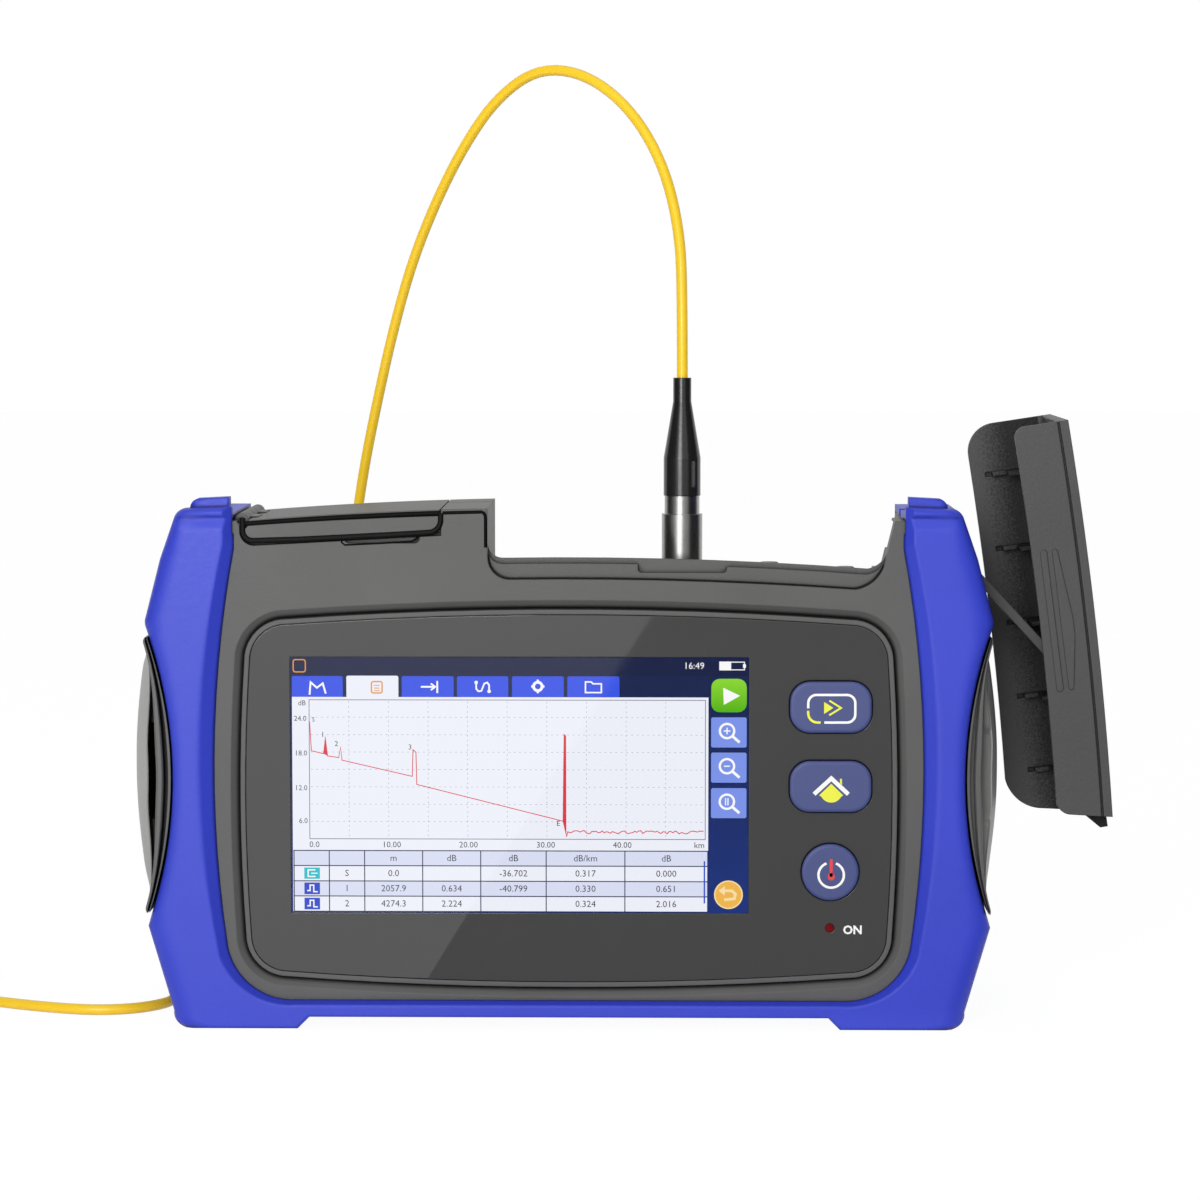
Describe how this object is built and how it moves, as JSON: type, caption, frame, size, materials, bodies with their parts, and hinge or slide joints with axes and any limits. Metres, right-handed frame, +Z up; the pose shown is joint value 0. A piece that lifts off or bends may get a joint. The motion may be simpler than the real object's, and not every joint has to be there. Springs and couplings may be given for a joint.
{
  "type": "optical time domain reflectometer",
  "caption": "Hand-held fibre tester in a protective jacket, with a display, keys, a hinged port cover swung open on its arm, and a patch cord screwed into the test port",
  "frame": {"origin": "On the level the feet stand on, half-way across the instrument and at the mid-depth plane of the case seam", "axes": "+X to the right seen from the front, the screen looks towards -Y, +Z up"},
  "size_m": [0.3683, 0.1264, 0.2633],
  "materials": {
    "grey_case": "fine textured moulded grey",
    "black_rubber": "matt black",
    "blue_rubber": "satin blue, soft moulded",
    "grey_rubber": "matt grey",
    "overlay": "dark grey semi-gloss overlay",
    "clear_glass": "clear touch glass",
    "display": "lit display with a plain trace",
    "key_blue": "slate-blue silicone",
    "circuit_board": "green solder mask",
    "steel": "zinc-plated steel",
    "aluminium": "natural shield can",
    "black_plastic": "glossy black",
    "battery_wrap": "shrink wrap",
    "dark_plastic": "dark grey moulded",
    "nickel": "nickel plated",
    "yellow_jacket": "yellow cord jacket",
    "black_fabric": "hook-and-loop strap"
  },
  "bodies": {
    "case": {"front_shell": "grey_case", "rear_shell": "grey_case", "case_gasket": "black_rubber", "bumper": "blue_rubber", "left_side_grip": "grey_rubber", "right_side_grip": "grey_rubber", "front_lens": "overlay", "touch_panel": "clear_glass", "display_module": "display", "keypad_board": "circuit_board", "light_pipe": "clear_glass", "main_board": "circuit_board", "board_screws": "steel", "optical_module": "aluminium", "speaker": "black_plastic", "battery_pack": "battery_wrap", "battery_door": "grey_case", "battery_door_screws": "steel", "case_screws": "steel", "stand_pins": "steel", "connector_plate": "dark_plastic", "plate_screws": "steel", "otdr_adapter": "nickel", "visual_fault_port": "nickel", "power_meter_port": "nickel", "door_hinge_pin": "steel", "usb_a_socket": "nickel", "usb_micro_socket": "nickel", "dc_jack": "black_plastic", "io_board": "circuit_board", "arm_pivot_pin": "steel", "coupling_nut": "nickel", "plug_body": "nickel", "cord_boot": "black_plastic", "fibre_cord": "yellow_jacket", "fibre_coil": "yellow_jacket", "coil_tie": "black_fabric", "far_plug_nut": "nickel", "far_plug_body": "nickel", "far_plug_boot": "black_plastic", "far_plug_cap": "black_plastic"},
    "run_key": {"run_button": "key_blue"},
    "home_key": {"home_button": "key_blue"},
    "power_key": {"power_button": "key_blue"},
    "stand": {"tilt_stand": "dark_plastic"},
    "fault_cap": {"visual_fault_cap": "black_plastic"},
    "meter_cap": {"power_meter_cap": "black_plastic"},
    "interface_door": {"port_door": "grey_case"},
    "arm": {"cover_arm": "dark_plastic"},
    "cover": {"bay_cover": "grey_case", "cover_pivot_pin": "steel"}
  },
  "joints": [
    {"name": "run_press", "type": "slide", "parent": "case", "child": "run_key", "axis": [0, 1, 0], "range_m": [0, 0.0006], "stiffness_N_per_m": 2000},
    {"name": "home_press", "type": "slide", "parent": "case", "child": "home_key", "axis": [0, 1, 0], "range_m": [0, 0.0006], "stiffness_N_per_m": 2000},
    {"name": "power_press", "type": "slide", "parent": "case", "child": "power_key", "axis": [0, 1, 0], "range_m": [0, 0.0006], "stiffness_N_per_m": 2000},
    {"name": "stand_hinge", "type": "hinge", "parent": "case", "child": "stand", "pos_m": [0, 0.0313, 0.088], "axis": [1, 0, 0], "range_deg": [0, 35]},
    {"name": "fault_cap_pull", "type": "slide", "parent": "case", "child": "fault_cap", "axis": [0, 0, 1], "range_m": [0, 0.012]},
    {"name": "meter_cap_pull", "type": "slide", "parent": "case", "child": "meter_cap", "axis": [0, 0, 1], "range_m": [0, 0.012]},
    {"name": "door_hinge", "type": "hinge", "parent": "case", "child": "interface_door", "pos_m": [-0.0886, -0.009, 0.1382], "axis": [0, -1, 0], "range_deg": [0, 105]},
    {"name": "arm_hinge", "type": "hinge", "parent": "case", "child": "arm", "pos_m": [0.1006, -0.009, 0.1344], "axis": [0, -1, 0], "range_deg": [0, 125]},
    {"name": "cover_hinge", "type": "hinge", "parent": "arm", "child": "cover", "pos_m": [0.13616, -0.009, 0.096], "axis": [0, -1, 0], "range_deg": [-7, 3]}
  ]
}
